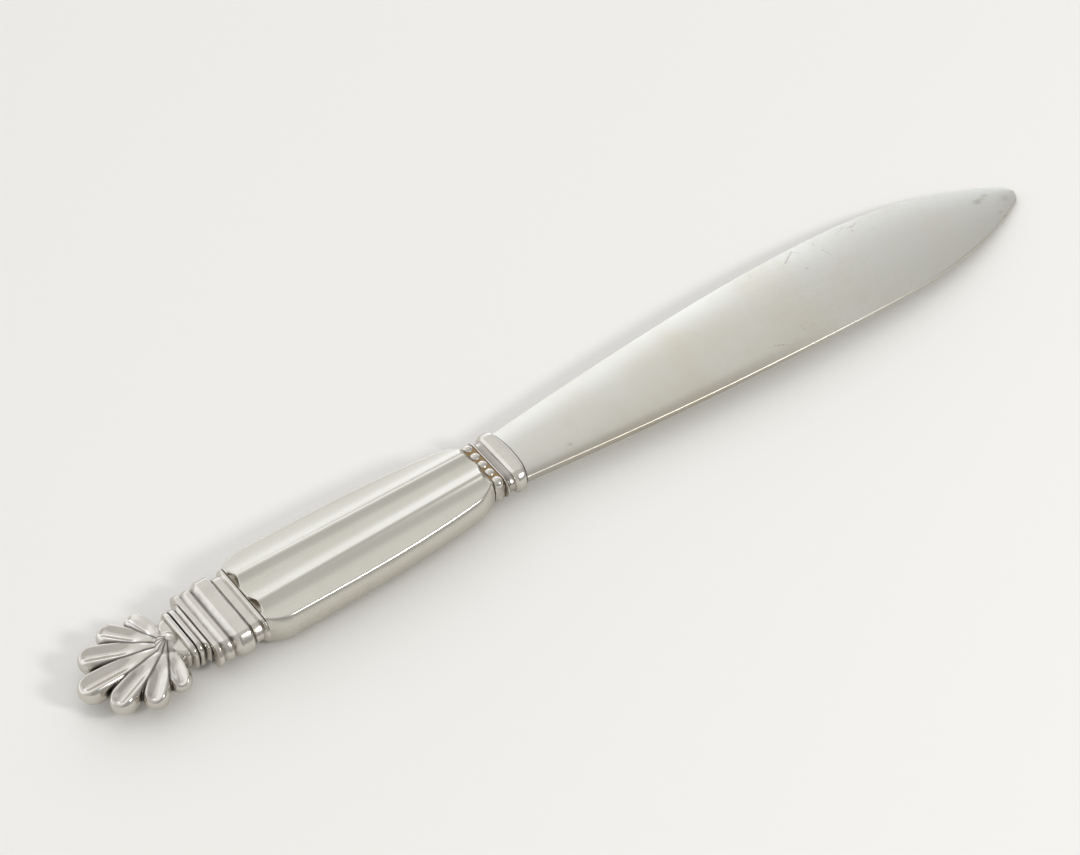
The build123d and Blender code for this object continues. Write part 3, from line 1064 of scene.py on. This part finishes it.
    def stain(self, x: np.ndarray, y: np.ndarray) -> np.ndarray:
        """Gives how dark the pits at the shell's two ends are.

        Args:
            x: points' places along the handle.
            y: their places across it.

        Returns:
            The stain at those points.
        """
        tail = (self.ridge_half_tail, self.tail_x - x)
        neck = (self.ridge_half_neck, x - self.neck_x)
        stain = np.zeros_like(x)
        for ridge, past_end in (tail, neck):
            cut = self.notch(y, ridge)
            in_pit = smooth_step(*self.pit_edge, cut / self.notch_depth)
            behind = smooth_step(-self.pit_blend, self.pit_blend, past_end + cut)
            stain = np.maximum(stain, self.pit_stain * in_pit * behind)
        return stain

    def build(self) -> list[Piece]:
        """Makes the two shells.

        Returns:
            The front and the back shell.
        """
        shell = self.shell()
        made = []
        for half in Half:
            shape = shell if half is Half.FRONT else shell.flipped()
            piece = Piece(f"handle_{half.name.lower()}_half", Slot.STRUCK, shape)
            piece.mark("tarnish", self.stain(shape.points[:, 0], shape.points[:, 1]))
            made.append(piece)
        return made


@dataclass
class TailCollar(Moulding):
    """The cast collar: a row of mouldings, each with a slope towards the tail and a flat top."""

    half_width: float = 8.25
    half_height: float = 3.0
    side: float = 1.7
    corner: float = 0.42
    polish_round: float = 0.1
    profile: tuple[Span, ...] = (
        (-78.2, 1.2), (-78.15, 0.75), (-77.88, 0.3), (-77.2, 0.25), (-77.08, 0.4), (-77.0, 0.75),
        (-76.92, 0.9), (-76.78, 0.9), (-75.9, 0.36), (-75.2, 0.35), (-75.06, 0.5), (-74.97, 0.85),
        (-74.88, 1.0), (-74.76, 1.0), (-73.62, 0.06), (-73.3, 0.0), (-71.5, 0.0), (-71.28, 0.14),
        (-71.16, 0.5), (-71.08, 0.9), (-70.98, 1.02), (-70.86, 1.0), (-70.55, 0.75), (-69.4, 0.76),
        (-69.28, 0.8), (-69.18, 0.8), (-68.76, 0.26), (-68.4, 0.22), (-68.32, 0.26), (-68.3, 1.2),
    )

    def build(self) -> Piece:
        """Makes the collar's mesh."""
        return Piece("tail_collar", Slot.CAST, sweep(self.rings()))


@dataclass
class Finial:
    """The cast palmette: scooped petals about a heart, on a stem bound by a tie of two reeds."""

    collar_x: float = -78.2
    stem_half_width: float = 5.6
    stem_half_height: float = 2.5
    stem_length: float = 0.9
    waist_half_width: float = 4.6
    waist_half_height: float = 2.0
    waist_corner: float = 1.2
    throat: tuple[Span, ...] = ((0.0, 0.7), (0.7, 0.93), (1.3, 1.0))
    tie_length: float = 2.2
    tie_rise: float = 0.9
    tie_gap: float = 0.03
    tie_groove: float = 0.75
    reed_turn: Span = (math.radians(170), math.radians(10))
    reed_points: int = 11
    heart_from_collar: float = 4.9
    heart_radius: float = 2.6
    petal_base: float = 0.9
    petal_start: float = 0.3
    petal_rings: tuple[int, int] = (40, 24)
    petal_points: int = 72
    petal_last_angle: float = math.radians(88)
    petal_angles: tuple[float, ...] = (0.0, 23.0, 47.0, 74.0)
    petal_lengths: tuple[float, ...] = (16.9, 14.9, 12.2, 9.2)
    petal_radii: tuple[float, ...] = (2.5, 2.4, 2.25, 2.0)
    tip_share: float = 1.1
    dome_power: float = 0.8
    scoop_depth: float = 0.5
    scoop_width: float = 0.7
    scoop_power: float = 1.5
    scoop_start: Span = (0.22, 0.55)
    scoop_end: float = 0.9
    fold_width: Span = (0.05, 0.4)
    fold_stain: float = 0.85
    least_half_width: float = 0.05
    off_petal: float = 9.0
    petal_reach: float = 2.0
    heart_line: tuple[Span, Span] = ((0.02, 0.1), (0.15, 0.45))
    voxel: float = 0.11
    smoothing: int = 4
    smoothing_factor: float = 0.5

    def heart_x(self) -> float:
        """Gives the heart's place along X."""
        return self.collar_x - self.heart_from_collar

    def petals(self) -> list[tuple[float, float, float]]:
        """Lists every petal's angle, length and radius, those beside the middle one in pairs."""
        sizes = zip(self.petal_angles, self.petal_lengths, self.petal_radii)
        return [(side, *size) for angle, *size in sizes for side in sorted({angle, -angle})]

    @staticmethod
    def petal_axes(angle: float) -> tuple[np.ndarray, np.ndarray]:
        """Gives the directions along and across a petal.

        Args:
            angle: its direction in degrees from the tail.

        Returns:
            Both directions, of length one.
        """
        heading = math.radians(angle)
        along = np.array([-math.cos(heading), math.sin(heading), 0.0])
        return along, np.array([math.sin(heading), math.cos(heading), 0.0])

    def petal_half_width(self, along: np.ndarray, length: float, radius: float) -> np.ndarray:
        """Gives half a petal's width.

        Args:
            along: distances from the heart.
            length: the petal's reach from the heart.
            radius: half its greatest width.

        Returns:
            Half-widths at those distances.
        """
        wide = length - self.tip_share * radius
        swell = np.sin(math.pi / 2 * np.minimum(along / wide, 1))
        half = blend(self.petal_base, radius, swell)
        past = np.clip((along - wide) / (length - wide), 0, 1)
        return half * np.sqrt(1 - past**2)

    def folds(self, points: np.ndarray) -> np.ndarray:
        """Gives how deep in a fold each point lies: between two petals, or where they leave the heart.

        Args:
            points: points of the casting.

        Returns:
            1 in a fold, 0 away from it.
        """
        away = points - (self.heart_x(), 0, 0)
        shares = []
        for angle, length, radius in self.petals():
            forward, sideways = self.petal_axes(angle)
            along = away @ forward
            reached = np.clip(along, self.petal_start, length)
            half = np.maximum(self.petal_half_width(reached, length, radius), self.least_half_width)
            share = np.abs(away @ sideways) / half
            shares.append(np.where(along > self.petal_start, share, self.off_petal))
        nearest = np.sort(shares, axis=0)
        in_fold = 1 - smooth_step(*self.fold_width, nearest[1] - nearest[0])
        reach = np.linalg.norm(away, axis=1) - self.heart_radius
        on_petal = nearest[0] < self.petal_reach
        off_heart = on_petal * smooth_step(0.0, self.heart_line[0][1], reach)
        return np.maximum(in_fold * off_heart, between(*self.heart_line, reach))

    def petal(self, angle: float, length: float, radius: float) -> Shape:
        """Makes one petal: a drop with a raised rim round a scooped middle, alike on both faces.

        Args:
            angle: its direction in degrees from the tail.
            length: its reach from the heart.
            radius: half its greatest width.

        Returns:
            The closed petal.
        """
        wide = length - self.tip_share * radius
        swell_rings, tip_rings = self.petal_rings
        swell = np.linspace(self.petal_start, wide, swell_rings)
        tip = wide + (length - wide) * np.sin(np.linspace(0, self.petal_last_angle, tip_rings))[1:]
        along = np.concatenate([swell, tip])
        half = self.petal_half_width(along, length, radius)
        turn = np.linspace(0, 2 * math.pi, self.petal_points, endpoint=False)
        across, rise = np.cos(turn), np.sin(turn)
        dome = np.sign(rise) * np.abs(rise) ** self.dome_power
        dish = np.clip(1 - (across / self.scoop_width) ** 2, 0, 1) ** self.scoop_power * np.sign(rise)
        start, full, end = (share * length for share in (*self.scoop_start, self.scoop_end))
        depth = between((start, full), (end, length), along)
        forward, sideways = self.petal_axes(angle)
        rings = []
        for d, w, s in zip(along, half, depth):
            ring = np.outer(np.full_like(turn, d), forward) + np.outer(w * across, sideways)
            ring[:, 2] += w * dome - s * self.scoop_depth * w * dish
            rings.append(ring)
        shape = sweep(np.array(rings))
        return Shape(shape.points + (self.heart_x(), 0, 0), [face[::-1] for face in shape.faces])

    def palmette(self) -> Shape:
        """Gathers the stem, heart and petals before they are cast as one.

        Returns:
            All of them, overlapping.
        """
        heart_x, width, height = self.heart_x(), self.waist_half_width, self.waist_half_height
        stem = [(heart_x + out, width * share, height) for out, share in self.throat]
        stem.append((self.collar_x - self.stem_length, width, height))
        stem.append((self.collar_x, self.stem_half_width, self.stem_half_height))
        shape = sweep(np.array([at_x(x, rounded_ring(w, h, self.waist_corner)) for x, w, h in stem]))
        heart = ball(self.heart_radius)
        shape = shape.joined(Shape(heart.points + (heart_x, 0, 0), heart.faces))
        for angle, length, radius in self.petals():
            shape = shape.joined(self.petal(angle, length, radius))
        return shape

    def cast(self, shape: Shape) -> Shape:
        """Runs overlapping forms together into one skin, with the soft corners of a casting.

        Args:
            shape: the forms.

        Returns:
            One closed skin.
        """
        mesh = bpy.data.meshes.new("casting")
        mesh.from_pydata(shape.points.tolist(), [], shape.faces)
        mould = bpy.data.objects.new("casting", mesh)
        bpy.context.scene.collection.objects.link(mould)
        remesh = mould.modifiers.new("pour", "REMESH")
        remesh.mode = "VOXEL"
        remesh.voxel_size = self.voxel
        soften = mould.modifiers.new("soften", "SMOOTH")
        soften.factor = self.smoothing_factor
        soften.iterations = self.smoothing
        made = mould.evaluated_get(bpy.context.evaluated_depsgraph_get()).to_mesh()
        points = np.array([vertex.co[:] for vertex in made.vertices])
        faces = [tuple(face.vertices) for face in made.polygons]
        bpy.data.objects.remove(mould)
        bpy.data.meshes.remove(mesh)
        return Shape(points, faces)

    def tie_section(self, inset: float) -> np.ndarray:
        """Draws the tie's section at an inset."""
        waist = (self.waist_half_width, self.waist_half_height, self.waist_corner)
        return rounded_ring(*(size + self.tie_rise - inset for size in waist))

    def tie(self) -> Shape:
        """Makes the tie's two reeds.

        Returns:
            The tie as a closed shape.
        """
        end = self.collar_x - self.stem_length - self.tie_gap
        half = self.tie_length / 2
        profile = []
        for middle in (end - 1.5 * half, end - 0.5 * half):
            for turn in np.linspace(*self.reed_turn, self.reed_points):
                inset = self.tie_rise * self.tie_groove * (1 - math.sin(turn))
                profile.append((middle + half / 2 * math.cos(turn), inset))
        return sweep(moulded(profile, self.tie_section))

    def build(self) -> list[Piece]:
        """Makes the palmette and its tie.

        Returns:
            Both pieces.
        """
        palmette = Piece("finial", Slot.CAST, self.cast(self.palmette()))
        palmette.mark("tarnish", self.fold_stain * self.folds(palmette.points()))
        return [palmette, Piece("finial_tie", Slot.CAST, self.tie())]


@dataclass
class Ageing:
    """Finds where a polishing cloth doesn't reach, and where old polish has caked."""

    reach: float = 1.3
    lift: float = 0.03
    rays: int = 20
    distance_weight: float = 0.6
    crease_weight: float = 0.14
    crease_most: float = 0.5
    crease_passes: int = 3
    shortest_edge: float = 1e-3
    nearly_lengthwise: float = 0.9
    open_runs: tuple[Span, ...] = ((-64.5, -25.5), (-12.0, 100.0))
    bead_row: tuple[Span, Span] = ((-22.2, -21.7), (-19.3, -18.9))
    cake_span: Span = (0.25, 0.5)

    def directions(self) -> np.ndarray:
        """Spreads rays evenly over the half-space about +Z.

        Returns:
            One direction of length one for each ray.
        """
        index = np.arange(self.rays) + 0.5
        rise = np.sqrt(1 - index / self.rays)
        turn = index * math.pi * (3 - math.sqrt(5))
        flat = np.sqrt(1 - rise**2)
        return np.column_stack([flat * np.cos(turn), flat * np.sin(turn), rise])

    def hollow(self, piece: Piece, points: np.ndarray, normals: np.ndarray) -> np.ndarray:
        """Gives how sharply a piece's surface is folded inwards at each point.

        Args:
            piece: the piece.
            points: its points.
            normals: their normals.

        Returns:
            Curvatures per millimetre, 0 where the surface bulges.
        """
        edges = piece.edges()
        pairs = np.vstack([edges, edges[:, ::-1]])
        step = points[pairs[:, 1]] - points[pairs[:, 0]]
        length = np.maximum(np.linalg.norm(step, axis=1), self.shortest_edge)
        rise = np.einsum("ij,ij->i", step, normals[pairs[:, 0]]) / length**2
        total, count = np.zeros(len(points)), np.zeros(len(points))
        np.add.at(total, pairs[:, 0], 2 * rise)
        np.add.at(count, pairs[:, 0], 1)
        bend = total / np.maximum(count, 1)
        for _ in range(self.crease_passes):
            around = np.zeros(len(points))
            np.add.at(around, pairs[:, 0], bend[pairs[:, 1]])
            bend = (bend + around / np.maximum(count, 1)) / 2
        return np.maximum(bend, 0)

    def shut_in(
        self, tree: BVHTree, points: np.ndarray, normals: np.ndarray, hidden: np.ndarray
    ) -> np.ndarray:
        """Gives how much of the space in front of each point is blocked nearby.

        Args:
            tree: all the pieces' faces.
            points: points of a piece.
            normals: their normals.
            hidden: numbers of the points that need a look.

        Returns:
            0 in the open, 1 where all is blocked.
        """
        slanting = np.abs(normals[:, :1]) < self.nearly_lengthwise
        helper = np.where(slanting, (1.0, 0.0, 0.0), (0.0, 1.0, 0.0))
        side = np.cross(normals, helper)
        side /= np.linalg.norm(side, axis=1, keepdims=True)
        other = np.cross(normals, side)
        starts = (points + self.lift * normals).tolist()
        shut = np.zeros(len(points))
        for ray in self.directions():
            heading = (ray[0] * side + ray[1] * other + ray[2] * normals).tolist()
            for i in hidden.tolist():
                distance = tree.ray_cast(starts[i], heading[i], self.reach)[3]
                if distance is not None:
                    shut[i] += 1 - self.distance_weight * distance / self.reach
        return shut / self.rays

    def apply(self, pieces: list[Piece]) -> None:
        """Marks every piece with how shut in each of its points is.

        Args:
            pieces: all the visible pieces.
        """
        everything, faces = [], []
        for piece in pieces:
            start = sum(len(part) for part in everything)
            everything.append(piece.points())
            faces += [[i + start for i in face.vertices] for face in piece.object.data.polygons]
        tree = BVHTree.FromPolygons(np.vstack(everything).tolist(), faces)
        for piece, points in zip(pieces, everything):
            normals = piece.normals()
            x = points[:, 0]
            clear = np.any([(x > low) & (x < high) for low, high in self.open_runs], axis=0)
            shut = self.shut_in(tree, points, normals, np.flatnonzero(~clear))
            crease = np.minimum(self.crease_weight * self.hollow(piece, points, normals), self.crease_most)
            shut = np.where(clear, 0.0, np.maximum(shut, crease))
            piece.mark("cavity", shut)
            if "residue" not in piece.object.data.attributes:
                piece.mark("residue", between(*self.bead_row, x) * smooth_step(*self.cake_span, shut))


@dataclass
class Studio:
    """A pale table under a soft dome of light, seen as the photograph sees it.

    The dome's runs are given in the parts of a direction of length one.
    """

    azimuth: float = math.radians(-36.16)
    elevation: float = math.radians(49.1)
    distance: float = 590.4
    target: tuple[float, float, float] = (-4.15, 5.4, 0.0)
    focal_pixels: float = 3400.0
    image_width: float = 1080.0
    sensor: float = 36.0
    clip: Span = (0.01, 20.0)
    floor_size: float = 3.0
    floor_colour: str = "#F1EFEA"
    floor_roughness: float = 0.85
    room_colour: str = "#FFFFFF"
    window_colour: str = "#E6EEFF"
    front_level: float = 0.42
    over_level: float = 0.7
    over_run: Span = (-0.85, -0.4)
    panel_level: float = 1.0
    panel_run: Span = (0.11, 0.28)
    panel_lean: float = 0.35
    lean_run: Span = (0.4, 0.5)
    window_level: float = 1.41
    window_slant: float = 0.25
    window_top: Span = (0.8, 0.5)
    window_run: Span = (0.15, 0.4)
    window_rise: float = 3.0
    rise_run: Span = (0.35, 0.47)
    side_fall: float = 0.4
    fall_run: Span = (0.42, 0.66)
    key_place: tuple[float, float, float] = (0.444, -0.825, 0.666)
    key_size: float = 0.22
    key_watts: float = 4.2

    def camera(self) -> None:
        """Puts the camera where the photograph was taken from."""
        data = bpy.data.cameras.new("photo_camera")
        data.sensor_fit = "HORIZONTAL"
        data.sensor_width = self.sensor
        data.lens = self.focal_pixels / self.image_width * self.sensor
        data.clip_start, data.clip_end = self.clip
        camera = bpy.data.objects.new("photo_camera", data)
        level, rise = math.cos(self.elevation), math.sin(self.elevation)
        back = Vector((math.sin(self.azimuth) * level, -math.cos(self.azimuth) * level, rise))
        camera.location = (Vector(self.target) + back * self.distance) * MM
        camera.rotation_mode = "QUATERNION"
        camera.rotation_quaternion = (-back).to_track_quat("-Z", "Y")
        bpy.context.scene.collection.objects.link(camera)
        bpy.context.scene.camera = camera

    def dome(self) -> None:
        """Makes a dome of light: dim in front, a broad panel overhead and behind, a window low behind.

        The panel comes lower and the window is brighter towards the blade, and all the light falls off
        beyond the blade's tip.
        """
        world = bpy.data.worlds.new("studio_dome")
        bpy.context.scene.world = world
        world.use_nodes = True
        tree = world.node_tree
        tree.nodes.clear()
        way = add_node(tree, "ShaderNodeTexCoord", out="Generated")
        x, y, z = add_node(tree, "ShaderNodeSeparateXYZ", {0: way}).node.outputs
        slanted = {0: x, 1: self.window_slant, 2: z}
        slant = add_node(tree, "ShaderNodeMath", slanted, operation="MULTIPLY_ADD")
        soft = {"interpolation_type": "SMOOTHSTEP"}
        over, lean, low_down, behind, beside, fallen = (
            add_node(tree, "ShaderNodeMapRange", {0: value, **fade(run, 0.0, size)}, **soft)
            for value, run, size in (
                (y, self.over_run, self.over_level - self.front_level),
                (x, self.lean_run, self.panel_lean),
                (slant, self.window_top, self.window_level - self.panel_level),
                (y, self.window_run, 1.0),
                (x, self.rise_run, self.window_rise),
                (x, self.fall_run, self.side_fall),
            )
        )
        leaning = add_node(tree, "ShaderNodeMath", {0: y, 1: lean}, operation="ADD")
        more = fade(self.panel_run, 0.0, self.panel_level - self.over_level)
        panel = add_node(tree, "ShaderNodeMapRange", {0: leaning, **more}, **soft)
        room = add_node(tree, "ShaderNodeMath", {0: over, 1: panel}, operation="ADD")
        room = add_node(tree, "ShaderNodeMath", {0: room, 1: self.front_level}, operation="ADD")
        brighter = {0: behind, 1: beside, 2: behind}
        raised = add_node(tree, "ShaderNodeMath", brighter, operation="MULTIPLY_ADD")
        window = add_node(tree, "ShaderNodeMath", {0: low_down, 1: raised}, operation="MULTIPLY")
        kept = add_node(tree, "ShaderNodeMath", {0: 1.0, 1: fallen}, operation="SUBTRACT")
        lights = []
        for colour, level in ((self.room_colour, room), (self.window_colour, window)):
            strength = add_node(tree, "ShaderNodeMath", {0: level, 1: kept}, operation="MULTIPLY")
            glow = {"Color": linear(colour), "Strength": strength}
            lights.append(add_node(tree, "ShaderNodeBackground", glow))
        light = add_node(tree, "ShaderNodeAddShader", dict(enumerate(lights)))
        add_node(tree, "ShaderNodeOutputWorld", {"Surface": light})

    def key_box(self) -> None:
        """Hangs the soft box that lights the near edges, facing the opener."""
        data = bpy.data.lights.new("key_box", "AREA")
        data.shape = "RECTANGLE"
        data.size, data.size_y = self.key_size, self.key_size
        data.energy = self.key_watts
        lamp = bpy.data.objects.new("key_box", data)
        lamp.location = self.key_place
        lamp.rotation_mode = "QUATERNION"
        lamp.rotation_quaternion = (-Vector(self.key_place)).to_track_quat("-Z", "Y")
        bpy.context.scene.collection.objects.link(lamp)

    def floor(self) -> None:
        """Lays the table that the opener rests on, painted matt so that it stays even and pale."""
        half = self.floor_size / 2
        corners = [(-half, -half, 0), (half, -half, 0), (half, half, 0), (-half, half, 0)]
        mesh = bpy.data.meshes.new("table")
        mesh.from_pydata(corners, [], [(0, 1, 2, 3)])
        table = bpy.data.objects.new("table", mesh)
        material = blank_material("pale_painted_table")
        tree = material.node_tree
        paint = {"Base Color": linear(self.floor_colour), "Roughness": self.floor_roughness}
        shader = add_node(tree, "ShaderNodeBsdfPrincipled", paint)
        add_node(tree, "ShaderNodeOutputMaterial", {"Surface": shader})
        mesh.materials.append(material)
        bpy.context.scene.collection.objects.link(table)

    def build(self) -> None:
        """Sets up the camera, the light and the table."""
        bpy.context.scene.view_settings.view_transform = "Standard"
        self.camera()
        self.dome()
        self.key_box()
        self.floor()


def main() -> None:
    """Builds the studio and every piece in order."""
    logging.basicConfig(level=logging.INFO, format="%(name)s: %(message)s")
    Studio().build()
    pieces = [
        Blade().build(),
        Bolster().build(),
        BeadWire().build(),
        *Handle().build(),
        TailCollar().build(),
        *Finial().build(),
    ]
    Ageing().apply(pieces)
    finishes = {
        Slot.BLADE: BLADE_SILVER.build(),
        Slot.STRUCK: STRUCK_SILVER.build(),
        Slot.CAST: CAST_SILVER.build(),
        Slot.CEMENT: CementFinish().build(),
    }
    for piece in pieces:
        piece.dress(finishes[piece.slot])
        log.info("%s: %d points", piece.object.name, len(piece.object.data.vertices))
    for node, slot in (("handle_filling", Slot.CEMENT), ("finial_peg", Slot.CAST)):
        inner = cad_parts[node]
        inner.data.materials.clear()
        inner.data.materials.append(finishes[slot])
        log.info("%s: kept from the solids", node)


if __name__ == "__main__":
    main()
